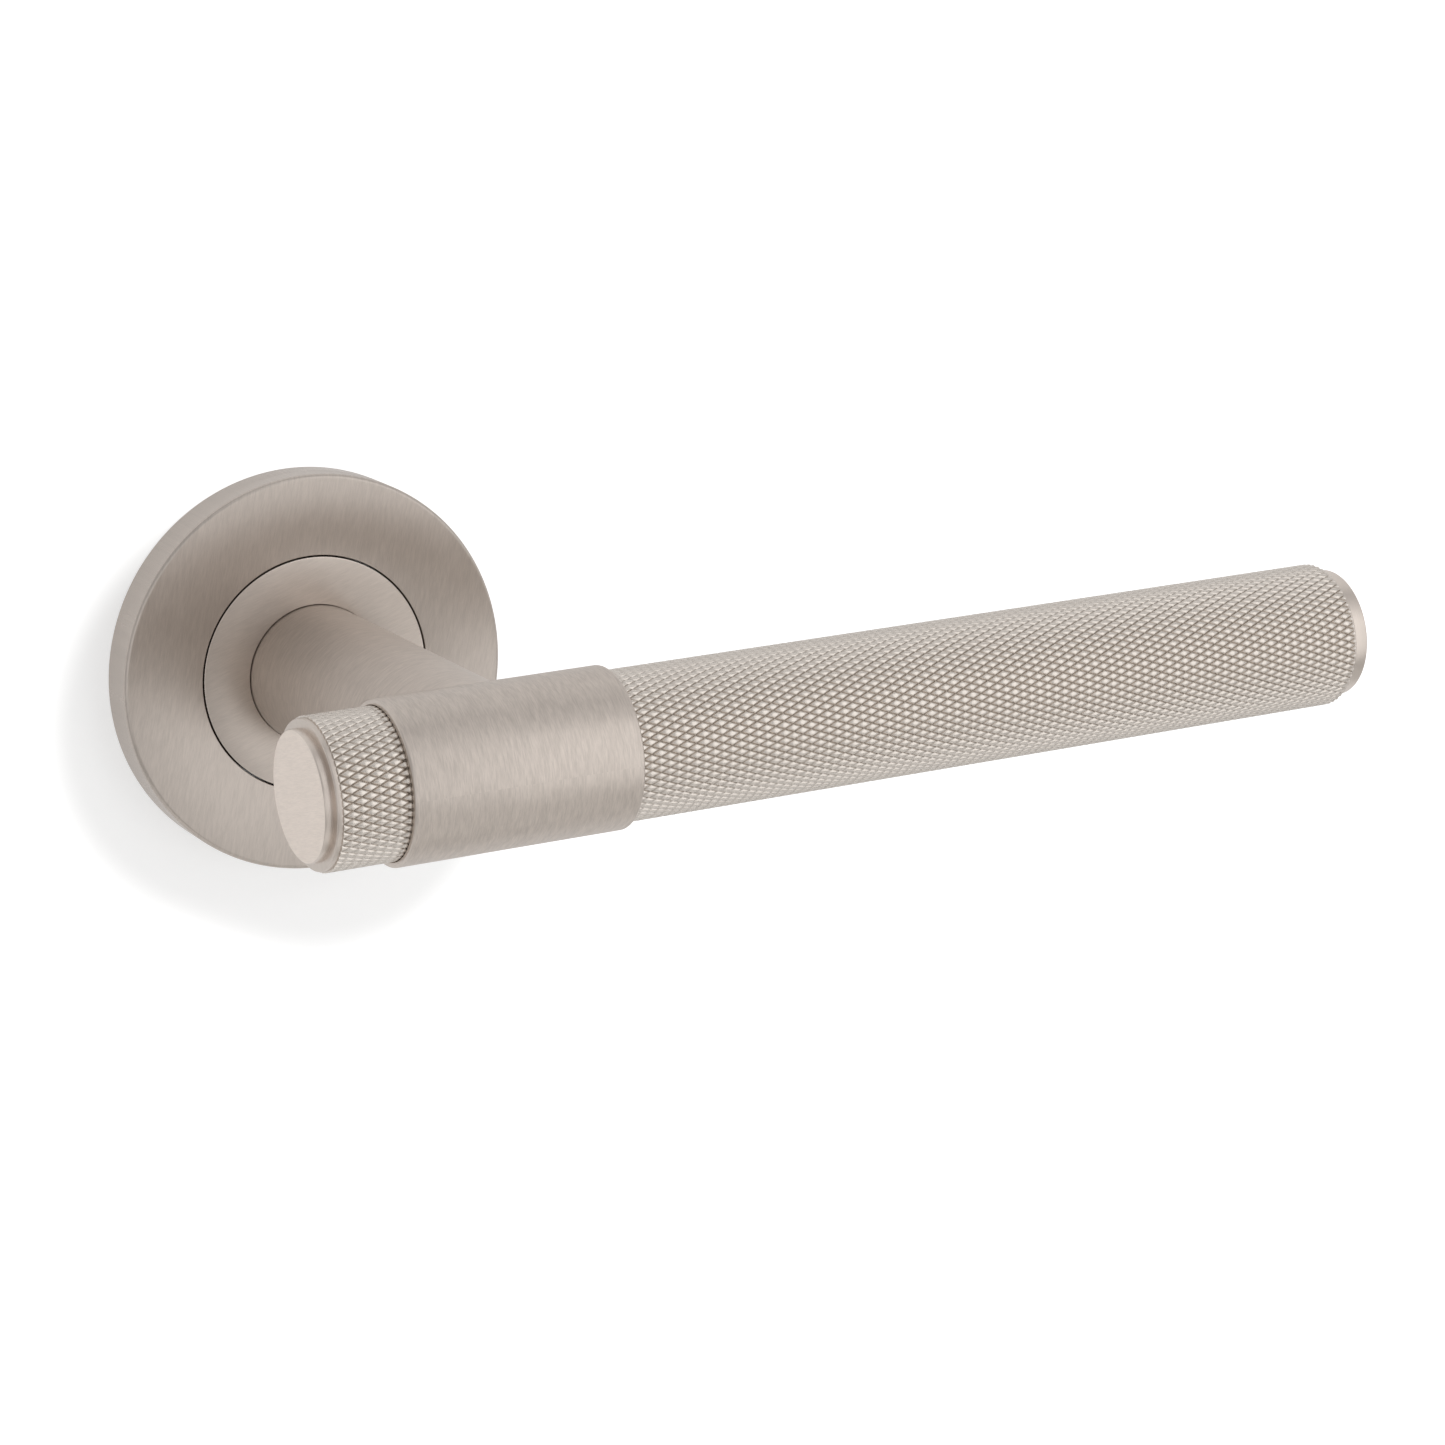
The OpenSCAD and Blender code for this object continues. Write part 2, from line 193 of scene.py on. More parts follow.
def makeCamera(setup):
    data = bpy.data.cameras.new("studioCamera")
    data.lens = setup["lens"]
    data.sensor_width = setup["sensor"]
    data.clip_start, data.clip_end = setup["clip"]
    camera = bpy.data.objects.new("studioCamera", data)
    bpy.context.scene.collection.objects.link(camera)
    back = bearing(setup["azimuth"], setup["elevation"])
    aim(camera, Vector(setup["target"]) + back * setup["distance"], setup["target"])
    lean = Matrix.Rotation(math.radians(setup["roll"]), 3, "Z")
    camera.rotation_quaternion = (camera.rotation_quaternion.to_matrix() @ lean).to_quaternion()
    bpy.context.scene.camera = camera


def makeSheet(name, corners, material):
    mesh = bpy.data.meshes.new(name)
    mesh.from_pydata(corners, [], [tuple(range(len(corners)))])
    mesh.materials.append(material)
    sheet = bpy.data.objects.new(name, mesh)
    bpy.context.scene.collection.objects.link(sheet)


def makeWall(setup):
    # White in front, and clear from behind so that the fixings can be seen
    paint = Finish("wallPaint")
    matt = paint.put("BsdfDiffuse", None, {"Color": colour(setup["paint"])})
    light = 1.0
    # painted shadow: the lift fades inside soft discs low and left of the rose
    for centre, radius, fade in setup["shadows"]:
        away = paint.put("VectorMath", {"operation": "DISTANCE"},
                         {0: paint.place(), 1: (centre[0] * mm, setup["behind"], centre[1] * mm)}, "Value")
        light = paint.ramp(away, (radius - fade) * mm, (radius + fade) * mm) * light
    seen = paint.put("LightPath", output="Is Camera Ray")
    lift = seen * (light * setup["shadowDepth"] + (1 - setup["shadowDepth"])) * setup["lift"]
    glow = paint.put("Emission", None, {"Color": colour((1, 1, 1)), "Strength": lift + setup["glow"]})
    front = paint.put("AddShader", None, {0: matt, 1: glow})
    clear = paint.put("BsdfTransparent")
    behind = paint.put("NewGeometry", output="Backfacing")
    material = paint.close(paint.put("MixShader", None, {0: behind, 1: front, 2: clear}))
    half = setup["width"] / 2
    tall = setup["height"] / 2
    y = setup["behind"]
    makeSheet("wall", [(-half, y, -tall), (half, y, -tall), (half, y, tall), (-half, y, tall)], material)


def makeFloor(setup):
    paint = Finish("floorPaint")
    matt = paint.put("BsdfDiffuse", None, {"Color": colour(setup["paint"])})
    material = paint.close(matt)
    half = setup["depth"] / 2
    z = -setup["drop"]
    makeSheet("floor", [(-half, -setup["depth"], z), (half, -setup["depth"], z), (half, 0.0, z),
                        (-half, 0.0, z)], material)


def makeLights():
    for name, (direction, distance, size, radiance) in softboxes.items():
        place = Vector(softboxAim) + bearing(*direction) * distance
        place.y = min(place.y, -leastGap)
        data = bpy.data.lights.new(name, "AREA")
        data.shape = "RECTANGLE"
        data.size, data.size_y = size
        data.energy = radiance * math.pi * size[0] * size[1]
        lamp = bpy.data.objects.new(name, data)
        bpy.context.scene.collection.objects.link(lamp)
        lamp.visible_camera = False
        aim(lamp, place, softboxAim)


def makeWorld():
    world = bpy.data.worlds.new("studio")
    world.use_nodes = True
    world.node_tree.nodes["Background"].inputs["Color"].default_value = colour(worldGlow)
    bpy.context.scene.world = world
    bpy.context.scene.view_settings.view_transform = "Standard"


makeCamera(cameraSetup)
makeWall(wallSetup)
makeFloor(floorSetup)
makeLights()
makeWorld()
print("stage ready")


# Finishes

nickelTone = (0.660, 0.590, 0.535)
knurlTone = (0.715, 0.657, 0.602)
gripAxis = -0.060           # y of the grip's own axis

# Every brushed finish has its tone, the lines' width, length and height in mm, how far they shade the
# tone, the roughness and how far it wanders, and where an edge starts and ends being polished, in mm;
# such an edge also carries a painted highlight, a brighter tone
brushedLooks = {
    # straight lines, with their direction on the rose's face in degrees
    "roseBrushed": {"tone": 0.85, "lines": 77, "width": 0.13, "length": 1.8, "height": 0.0024, "shade": 0.10,
                    "rough": 0.36, "wander": 0.08, "edge": (25.65, 26.0), "stretch": 0.6},
    "discBrushed": {"tone": 0.90, "lines": 17, "width": 0.13, "length": 1.8, "height": 0.0024, "shade": 0.08,
                    "rough": 0.38, "wander": 0.08, "edge": (14.95, 15.3), "stretch": 0.6,
                    "stretchTurn": 0.25},
}
turnedLooks = {
    # lines that go round an axis, radius in mm
    "neckTurned": {"tone": 0.99, "axis": "out", "radius": 9.0, "width": 0.16, "length": 1.6,
                   "height": 0.004, "shade": 0.13, "rough": 0.44, "wander": 0.08},
    "gripTurned": {"tone": 0.94, "axis": "grip", "radius": 10.0, "width": 0.15, "length": 1.6,
                   "height": 0.004, "shade": 0.15, "rough": 0.42, "wander": 0.08, "edge": (14.4, 14.8),
                   "middle": 0.6},
    "plugTurned": {"tone": 1.06, "axis": "grip", "radius": 10.0, "width": 0.12, "length": 1.6,
                   "height": 0.002, "shade": 0.05, "rough": 0.32, "wander": 0.08},
}
# Fine satin of the plugs' flat faces, with the directions across and along its lines; the faces' tone, well
# above the plug sides', is a painted highlight
faceLook = {"tone": 1.31, "width": 0.13, "length": 1.6, "height": 0.002, "shade": 0.10, "rough": 0.42,
            "wander": 0.08, "across": (1, 0.26, 0.97), "along": (0, 0.97, -0.26)}
brushing = {
    "fineNoise": (3.0, 0.65),   # detail and roughness
    "deepNoise": (2.0, 0.5),
    "fineShare": 0.65,
    "deepAcross": 0.31,         # how much coarser the deep lines are than the fine ones
    "deepAlong": 0.6,
    "deepSlice": 7.3,
    "shadeRange": (0.3, 0.7),
    "cloudScale": 90.0,
    "cloudRough": 0.06,
    "polish": 0.10,             # what a polished edge takes off the roughness
    # share and tone of the painted highlight laid on the polished edges
    "highlightShare": 0.5,
    "highlightTone": 1.12,
}


def brushedMetal(finish, look, across, along, edgePolishAndHighlight=None):
    # Fine lines that stretch the reflections, over a slow cloudiness of the plating
    step = 1 / (look["width"] * mm)
    reach = 1 / (look["length"] * mm)
    deepStep = step * brushing["deepAcross"]
    deepReach = reach * brushing["deepAlong"]
    fineWhere = finish.vector(across * step, along * reach, 0.0)
    deepWhere = finish.vector(across * deepStep, along * deepReach, brushing["deepSlice"])
    fineLines = finish.noise(fineWhere, 1.0, *brushing["fineNoise"])
    deepLines = finish.noise(deepWhere, 1.0, *brushing["deepNoise"])
    lines = fineLines * brushing["fineShare"] + deepLines * (1 - brushing["fineShare"])
    cloud = finish.noise(finish.place(), brushing["cloudScale"])
    rough = lines * look["wander"] + (look["rough"] - look["wander"] / 2)
    rough = rough + (cloud - 0.5) * brushing["cloudRough"]
    tone = finish.blend(finish.ramp(lines, *brushing["shadeRange"]),
                        colour(nickelTone, look["tone"] - look["shade"]),
                        colour(nickelTone, look["tone"] + look["shade"] / 2))
    if edgePolishAndHighlight:
        # Edges are polished a little smoother, and their tone is raised as a painted highlight
        rough = rough - edgePolishAndHighlight * brushing["polish"]
        tone = finish.blend(edgePolishAndHighlight * brushing["highlightShare"], tone,
                            colour(nickelTone, look["tone"] * brushing["highlightTone"]))
    bump = finish.put("Bump", None, {"Strength": 1.0, "Distance": look["height"] * mm, "Height": lines},
                      "Normal")
    shader = finish.put("BsdfPrincipled", None, {
        "Base Color": tone, "Metallic": 1.0, "Roughness": rough, "Normal": bump,
        "Anisotropic": look.get("stretch", 0.0), "Anisotropic Rotation": look.get("stretchTurn", 0.0)})
    return finish.close(shader)


def edgeRamp(finish, look, distance):
    low, high = look["edge"]
    return finish.ramp(distance, low * mm, high * mm)


def linearBrushed(name):
    look = brushedLooks[name]
    finish = Finish(name)
    lean = math.radians(look["lines"])
    along = finish.along((math.cos(lean), 0.0, math.sin(lean)))
    across = finish.along((math.sin(lean), 0.0, -math.cos(lean)))
    flat = finish.put("VectorMath", {"operation": "MULTIPLY"}, {0: finish.place(), 1: (1, 0, 1)})
    radius = finish.put("VectorMath", {"operation": "LENGTH"}, {0: flat}, "Value")
    return brushedMetal(finish, look, across, along, edgeRamp(finish, look, radius))


def turnedBrushed(name):
    look = turnedLooks[name]
    finish = Finish(name)
    x = finish.along((1, 0, 0))
    y = finish.along((0, 1, 0))
    z = finish.along((0, 0, 1))
    if look["axis"] == "out":
        return brushedMetal(finish, look, y, finish.work("ARCTAN2", z, x) * (look["radius"] * mm))
    around = finish.work("ARCTAN2", z, y - gripAxis) * (look["radius"] * mm)
    mask = edgeRamp(finish, look, abs(x - look["middle"] * mm)) if "edge" in look else None
    return brushedMetal(finish, look, x, around, mask)


knurlLook = {
    "shadedRootTo": 8.93,             # radius where the roots end carrying painted shade and the crests start, mm
    "brightFrom": 9.20,
    # share of the tone the roots keep: painted shade in the grooves
    "rootShadeTone": 0.80,
    "rough": 0.34,
    "crestRough": 0.06,         # what a crest takes off the roughness
    "grainScale": 5200.0,
    "grainRough": 0.12,
    "grainHeight": 0.004,       # mm
    "cloudScale": 120.0,
    "cloudRough": 0.05,
}


def knurledMetal(look):
    # Plated knurling: the crests are a little smoother, and the roots are darkened as painted shade in the
    # grooves
    finish = Finish("knurledNickel")
    y = finish.along((0, 1, 0)) - gripAxis
    z = finish.along((0, 0, 1))
    radius = finish.work("SQRT", y * y + z * z)
    crest = finish.ramp(radius, look["shadedRootTo"] * mm, look["brightFrom"] * mm)
    grain = finish.noise(finish.place(), look["grainScale"], 3.0, 0.6)
    cloud = finish.noise(finish.place(), look["cloudScale"])
    rough = look["rough"] - crest * look["crestRough"]
    rough = rough + (grain - 0.5) * look["grainRough"] + (cloud - 0.5) * look["cloudRough"]
    tone = finish.blend(crest, colour(knurlTone, look["rootShadeTone"]), colour(knurlTone))
    bump = finish.put("Bump", None, {"Strength": 1.0, "Distance": look["grainHeight"] * mm, "Height": grain},
                      "Normal")
    shader = finish.put("BsdfPrincipled", None, {"Base Color": tone, "Metallic": 1.0,
                        "Roughness": rough, "Normal": bump})
    return finish.close(shader)


def faceMetal(look):
    finish = Finish("plugSatinAndHighlight")
    return brushedMetal(finish, look, finish.along(look["across"]), finish.along(look["along"]))


plainLooks = {
    # tone, metallic, roughness, grain size in mm, grain height in mm, second tone, cloudiness
    "zincPlate": ((0.60, 0.61, 0.63), 1.0, 0.34, 0.35, 0.004, (0.52, 0.54, 0.60), 0.5),
    "springSteel": ((0.30, 0.31, 0.33), 1.0, 0.30, 0.20, 0.003, (0.22, 0.21, 0.22), 0.6),
    "blackOxide": ((0.055, 0.056, 0.060), 0.6, 0.45, 0.15, 0.004, (0.09, 0.085, 0.08), 0.5),
    "sinteredBronze": ((0.54, 0.36, 0.18), 1.0, 0.48, 0.18, 0.010, (0.40, 0.25, 0.12), 0.7),
    "naturalNylon": ((0.80, 0.78, 0.72), 0.0, 0.50, 0.60, 0.006, (0.74, 0.71, 0.63), 0.4),
}
plainPatches = {
    "cloudScale": 260.0,
    "cloudRange": (0.35, 0.70),
    "grainRough": 0.18,
    "cloudRough": 0.12,
}


def plainFinish(name):
    tone, metallic, rough, grainSize, height, second, clouds = plainLooks[name]
    finish = Finish(name)
    grain = finish.noise(finish.place(), 1 / (grainSize * mm), 3.0, 0.6)
    cloud = finish.noise(finish.place(), plainPatches["cloudScale"], 3.0, 0.55)
    share = finish.ramp(cloud, *plainPatches["cloudRange"], toHigh=clouds)
    mixed = finish.blend(share, colour(tone), colour(second))
    uneven = rough + (grain - 0.5) * plainPatches["grainRough"] + (cloud - 0.5) * plainPatches["cloudRough"]
    bump = finish.put("Bump", None, {"Strength": 1.0, "Distance": height * mm, "Height": grain}, "Normal")
    shader = finish.put("BsdfPrincipled", None, {"Base Color": mixed, "Metallic": metallic,
                        "Roughness": uneven, "Normal": bump})
    return finish.close(shader)


finishes = {name: plainFinish(name) for name in plainLooks}
finishes["rose"] = linearBrushed("roseBrushed")
finishes["disc"] = linearBrushed("discBrushed")
finishes["neck"] = turnedBrushed("neckTurned")
finishes["collar"] = turnedBrushed("gripTurned")
finishes["plug"] = faceMetal(faceLook)
finishes["plugSide"] = turnedBrushed("plugTurned")
finishes["knurl"] = knurledMetal(knurlLook)
print("finishes ready")


# Shapes: everything round is turned about the lever's axis or the grip's axis

def outOfDoor(radius, height, angle):
    return Vector((radius * math.cos(angle), -height, radius * math.sin(angle))) * mm


def alongGrip(radius, height, angle):
    return Vector((height, gripAxis / mm - radius * math.cos(angle), radius * math.sin(angle))) * mm


def corner(centre, radius, start, end, steps=6):
    # Points on a rounded corner of a profile, angles in degrees
    points = []
    for step in range(steps + 1):
        angle = math.radians(start + (end - start) * step / steps)
        points.append((centre[0] + radius * math.cos(angle), centre[1] + radius * math.sin(angle)))
    return points


def valueAt(value, angle):
    return value(angle) if callable(value) else value


def turnedMesh(profile, place, segments=192, ring=True):
    # Rows of the profile are (radius, height); either may depend on the angle
    shape = bmesh.new()
    rows = []
    for radius, height in profile:
        row = []
        for step in range(segments):
            angle = 2 * math.pi * step / segments
            row.append(shape.verts.new(place(valueAt(radius, angle), valueAt(height, angle), angle)))
        rows.append(row)
    pairs = list(zip(rows, rows[1:] + rows[:1] if ring else rows[1:]))
    for low, high in pairs:
        for step in range(segments):
            after = (step + 1) % segments
            shape.faces.new((low[step], low[after], high[after], high[step]))
    bmesh.ops.remove_doubles(shape, verts=shape.verts, dist=1e-8)
    bmesh.ops.recalc_face_normals(shape, faces=shape.faces)
    return shape


def join(parts):
    # One shape made of several, which are used up
    whole = bmesh.new()
    for part in parts:
        mesh = bpy.data.meshes.new("part")
        part.to_mesh(mesh)
        part.free()
        whole.from_mesh(mesh)
        bpy.data.meshes.remove(mesh)
    return whole


def finishPiece(shape, name, material, body, stoodFor, smoothTo=32):
    # Edges sharper than smoothTo degrees stay crisp
    mesh = bpy.data.meshes.new(name)
    shape.to_mesh(mesh)
    shape.free()
    mesh.materials.append(material)
    mesh.polygons.foreach_set("use_smooth", [True] * len(mesh.polygons))
    mesh.set_sharp_from_angle(angle=math.radians(smoothTo))
    piece = bpy.data.objects.new(name, mesh)
    bpy.context.scene.collection.objects.link(piece)
    if body:
        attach(piece, body)
    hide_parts(*stoodFor)
    return piece


def drill(shape, centre, direction, radius, length, segments=48):
    # Cuts a round hole from centre along direction, and gives back the cut shape
    turn = Vector((0, 0, 1)).rotation_difference(Vector(direction)).to_matrix().to_4x4()
    place = Matrix.Translation(Vector(centre) * mm) @ turn @ Matrix.Translation((0, 0, length * mm / 2))
    tool = bmesh.new()
    bmesh.ops.create_cone(tool, cap_ends=True, segments=segments, radius1=radius * mm, radius2=radius * mm,
                          depth=length * mm, matrix=place)
    parts = []
    for name, part in (("blank", shape), ("bit", tool)):
        mesh = bpy.data.meshes.new(name)
        part.to_mesh(mesh)
        part.free()
        thing = bpy.data.objects.new(name, mesh)
        bpy.context.scene.collection.objects.link(thing)
        parts.append(thing)
    blank, bit = parts
    cutter = blank.modifiers.new("cut", "BOOLEAN")
    cutter.object = bit
    cutter.operation = "DIFFERENCE"
    cutter.solver = "EXACT"
    bpy.context.view_layer.update()
    result = bmesh.new()
    result.from_mesh(blank.evaluated_get(bpy.context.evaluated_depsgraph_get()).to_mesh())
    for thing in parts:
        mesh = thing.data
        bpy.data.objects.remove(thing)
        bpy.data.meshes.remove(mesh)
    return result


# Rose cover

roseCover = {
    "radius": 26.0,
    "height": 6.0,
    "edgeRound": 0.55,
    "wall": 1.2,
    "hole": 15.5,
    "holeRound": 0.10,
    "footBreak": 0.12,
    "slotWidth": 6.0,
    "slotHeight": 0.8,
}


def makeRoseCover(size):
    r, h, e, w = size["radius"], size["height"], size["edgeRound"], size["wall"]
    hole, b, foot = size["hole"], size["holeRound"], size["footBreak"]
    halfSlot = math.asin(size["slotWidth"] / 2 / r)

    def inSlot(angle):
        return abs((angle - 1.5 * math.pi + math.pi) % (2 * math.pi) - math.pi) < halfSlot

    def footAt(height):
        return lambda angle: height + (size["slotHeight"] if inSlot(angle) else 0.0)

    profile = [(r - foot, footAt(0.0)), (r, footAt(foot))]
    profile += corner((r - e, h - e), e, 0, 90, 8)
    profile += corner((hole + b, h - b), b, 90, 180, 4)
    profile += [(hole, h - w), (r - w, h - w), (r - w, footAt(0.0))]
    return turnedMesh(profile, outOfDoor, 288)


finishPiece(makeRoseCover(roseCover), "rose_cover_brushed", finishes["rose"], "rose",
            ["rose_cover"])

centreDisc = {
    "radius": 15.3,
    "front": 6.0,
    "back": 4.4,
    "edgeRound": 0.10,
    "seat": 8.5,
    "seatTop": 5.4,
    "neckHole": 9.1,
    "holeRound": 0.06,
}


def makeCentreDisc(size):
    r, top, back, e = size["radius"], size["front"], size["back"], size["edgeRound"]
    hole, b = size["neckHole"], size["holeRound"]
    profile = [(size["seat"], back), (r - e, back), (r, back + e)]
    profile += corner((r - e, top - e), e, 0, 90, 4)
    profile += corner((hole + b, top - b), b, 90, 180, 3)
    profile += [(hole, size["seatTop"]), (size["seat"], size["seatTop"])]
    return turnedMesh(profile, outOfDoor, 224)


finishPiece(makeCentreDisc(centreDisc), "centre_disc_brushed", finishes["disc"], "lever",
            ["centre_disc"])
print("rose ready")


# Neck, from the bottom of the spindle's socket out round the hub and up to the collar

neckSize = {
    "radius": 9.0,
    "foot": 5.4,
    "footBreak": 0.05,
    "rows": (20.0, 34.0),       # heights of extra rows up the bar
    "saddleRows": (6.0, 3.0),   # radii of extra rows under the collar
    "socketHalf": 4.05,
    "socketEnd": 23.0,
    "hubBack": -8.65,
    "hubBreak": 0.5,
    "journal": 7.75,
    "grooveFrom": -7.65,
    "grooveTo": -6.65,
    "groove": 7.15,
    "driverFoot": 1.9,
    "driverSeat": 8.3,
    "driverFlat": 7.8,
    "discSeat": 8.5,
    "discBack": 4.4,
    "grubHeight": 14.0,
    "grubRadius": 2.5,
}
collarSize = {
    "radius": 10.0,
    "bore": 9.28,
    "half": 14.8,
    "middle": 0.6,              # along the grip
    "edge": 0.33,
    "inner": 0.10,
    "studHole": 4.1,
    "studFrom": 12.0,           # where the stud's hole starts and how deep it goes
    "studDeep": 8.0,
}


def makeNeck(size, collar):
    half = size["socketHalf"]

    def square(angle):
        return half / max(abs(math.cos(angle)), abs(math.sin(angle)))

    def flats(angle):
        return min(size["driverSeat"], size["driverFlat"] / max(abs(math.cos(angle)), 1e-6))

    def saddle(radius):
        return lambda angle: -gripAxis / mm - math.sqrt(collar["radius"] ** 2
                                                        - (radius * math.sin(angle)) ** 2)

    back, journal, r = size["hubBack"], size["journal"], size["radius"]
    e, foot = size["hubBreak"], size["footBreak"]
    profile = [(0.0, size["socketEnd"]), (square, size["socketEnd"]), (square, back),
               (journal - e, back), (journal, back + e), (journal, size["grooveFrom"]),
               (size["groove"], size["grooveFrom"]), (size["groove"], size["grooveTo"]),
               (journal, size["grooveTo"]), (journal, size["driverFoot"]),
               (flats, size["driverFoot"]), (flats, size["discBack"]),
               (size["discSeat"], size["discBack"]), (size["discSeat"], size["foot"]),
               (r - foot, size["foot"]), (r, size["foot"] + foot)]
    profile += [(r, height) for height in size["rows"]]
    profile += [(radius, saddle(radius)) for radius in (r, *size["saddleRows"], 0.0)]
    shape = turnedMesh(profile, outOfDoor, 192, ring=False)
    return drill(shape, (0, -size["grubHeight"], -r - 1), (0, 0, 1), size["grubRadius"], r + 1)


finishPiece(makeNeck(neckSize, collarSize), "neck_turned", finishes["neck"], "lever",
            ["neck"])


def makeCollar(size):
    r, bore, half, e, i = size["radius"], size["bore"], size["half"], size["edge"], size["inner"]
    profile = []
    for side in (-1, 1):
        end = [(a, side * b) for a, b in corner((bore + i, half - i), i, 180, 90, 3)]
        end += [(a, side * b) for a, b in corner((r - e, half - e), e, 90, 0, 6)]
        profile += end if side < 0 else end[::-1]
    profile = [(a, b + size["middle"]) for a, b in profile]
    shape = turnedMesh(profile, alongGrip, 256)
    return drill(shape, (0, gripAxis / mm + size["studFrom"], 0), (0, -1, 0), size["studHole"],
                 size["studDeep"])


finishPiece(makeCollar(collarSize), "collar_brushed", finishes["collar"], "lever",
            ["collar"])


# Grip: a turned tube with plain lands, and the diamond knurling cut by two sets of helical grooves

gripSize = {
    "near": -23.4,
    "far": 118.2,
    "bore": 7.0,
    "land": 9.0,
    "nearKnurl": -22.72,
    "farKnurl": 117.9,
    "body": 8.72,
    "lip": 0.16,
    "farRound": 0.1,
    "nearSteps": 8,             # half diamonds of knurling at each end
    "farSteps": 88,
}
knurl = {
    "starts": 59,           # grooves of each hand round the bar
    "pitch": 2.387,         # length of a diamond along the bar, mm
    "root": 8.97,
    "crest": 9.25,
    "rises": ((0.22, 0.60), (0.48, 0.94)),  # share of the way in from a groove, share of the depth
    "inner": 8.68,
}


def knurledSleeve(size, low, steps):
    # A closed sleeve of domed diamonds from low, steps half diamonds long, so both ends cut the same pattern
    starts = size["starts"]
    half = size["pitch"] / 2
    high = low + steps * half
    first = math.floor(low / half) - 2
    last = math.ceil(high / half) + 2
    shape = bmesh.new()
    roots = {}

    def point(u, v, radius):
        return alongGrip(radius, (u - v) * half, math.pi * (u + v) / starts)

    def rootAt(u, v):
        key = (u - v, u % starts)
        if key not in roots:
            roots[key] = shape.verts.new(point(u, v, size["root"]))
        return roots[key]

    depth = size["crest"] - size["root"]
    for band in range(first, last + 1):
        for u in range(starts):
            v = u - band
            below = [rootAt(u, v), rootAt(u + 1, v), rootAt(u + 1, v + 1), rootAt(u, v + 1)]
            for share, rise in size["rises"]:
                inset = share / 2
                radius = size["root"] + depth * rise
                above = [shape.verts.new(point(u + a, v + b, radius)) for a, b in
                         ((inset, inset), (1 - inset, inset), (1 - inset, 1 - inset), (inset, 1 - inset))]
                for side in range(4):
                    after = (side + 1) % 4
                    shape.faces.new((below[side], below[after], above[after], above[side]))
                below = above
            shape.faces.new(below)
    for at, outward in ((low, -1), (high, 1)):
        whole = shape.verts[:] + shape.edges[:] + shape.faces[:]
        bmesh.ops.bisect_plane(shape, geom=whole, plane_co=(at * mm, 0, 0), plane_no=(outward, 0, 0),
                               clear_outer=True, dist=1e-8)
    rings = []
    for at in (low, high):
        edges = [e for e in shape.edges if e.is_boundary and abs(e.verts[0].co.x - at * mm) < 1e-6]
        rim = {vert for edge in edges for vert in edge.verts}
        inner = {}
        for vert in rim:
            angle = math.atan2(vert.co.z, gripAxis - vert.co.y)
            inner[vert] = shape.verts.new(alongGrip(size["inner"], at, angle))
        for edge in edges:
            a, b = edge.verts
            shape.faces.new((a, b, inner[b], inner[a]))
        rings.append(sorted(inner.values(), key=lambda vert: math.atan2(vert.co.z, gripAxis - vert.co.y)))
    count = len(rings[0])
    for step in range(count):
        after = (step + 1) % count
        shape.faces.new((rings[0][step], rings[0][after], rings[1][after], rings[1][step]))
    bmesh.ops.recalc_face_normals(shape, faces=shape.faces)
    return shape


def makeGripTube(size):
    land, body, lip, bore = size["land"], size["body"], size["lip"], size["bore"]
    near, far = size["near"], size["far"]
    edge = size["farRound"]
    profile = [(bore, near)]
    profile += corner((land - lip, near + lip), lip, 270, 360, 4)
    profile += [(land, size["nearKnurl"]), (body, size["nearKnurl"]), (body, size["farKnurl"]),
                (land, size["farKnurl"])]
    profile += corner((land - edge, far - edge), edge, 0, 90, 3)
    profile += [(bore, far)]
    return turnedMesh(profile, alongGrip, 192)


def makeGrip(size):
    farStart = size["farKnurl"] - size["farSteps"] * knurl["pitch"] / 2
    sleeves = [knurledSleeve(knurl, size["nearKnurl"], size["nearSteps"]),
               knurledSleeve(knurl, farStart, size["farSteps"])]
    for sleeve in sleeves:
        for face in sleeve.faces:
            face.material_index = 1
    return join([makeGripTube(size)] + sleeves)


grip = finishPiece(makeGrip(gripSize), "grip_knurled", finishes["collar"], "lever",
                   ["grip_tube"], smoothTo=62)
grip.data.materials.append(finishes["knurl"])


# End plugs

plugs = {
    "near_plug_satin": {"node": "near_end_plug", "seat": -23.4, "side": -1, "radius": 7.9, "proud": 1.1},
    "far_plug_satin": {"node": "far_end_plug", "seat": 118.2, "side": 1, "radius": 8.2, "proud": 2.3},
}
plugShank = {
    "radius": 7.0,
    "deep": 8.0,
    "break": 0.5,
    "edge": 0.22,               # rounding of the head
    "faceRow": 0.6,             # share of the head's radius where its face has one more row
}
flatFace = 0.9                  # a face this square to the grip's axis is a plug's end


def makePlug(size, shank):
    side, seat, r, proud = size["side"], size["seat"], size["radius"], size["proud"]
    inner, deep, e = shank["radius"], shank["deep"], shank["edge"]
    profile = [(0.0, -deep), (inner - shank["break"], -deep), (inner, shank["break"] - deep), (inner, 0.0),
               (r, 0.0)]
    profile += corner((r - e, proud - e), e, 0, 90, 6)
    profile += [(r * shank["faceRow"], proud), (0.0, proud)]
    profile = [(radius, seat + side * height) for radius, height in profile]
    return turnedMesh(profile, alongGrip, 192, ring=False)


for name, size in plugs.items():
    plug = finishPiece(makePlug(size, plugShank), name, finishes["plugSide"], "lever",
                       [size["node"]])
    plug.data.materials.append(finishes["plug"])
    for face in plug.data.polygons:
        if face.normal.x * size["side"] > flatFace:
            face.material_index = 1
print("grip ready")


# Screws and bolts with real threads

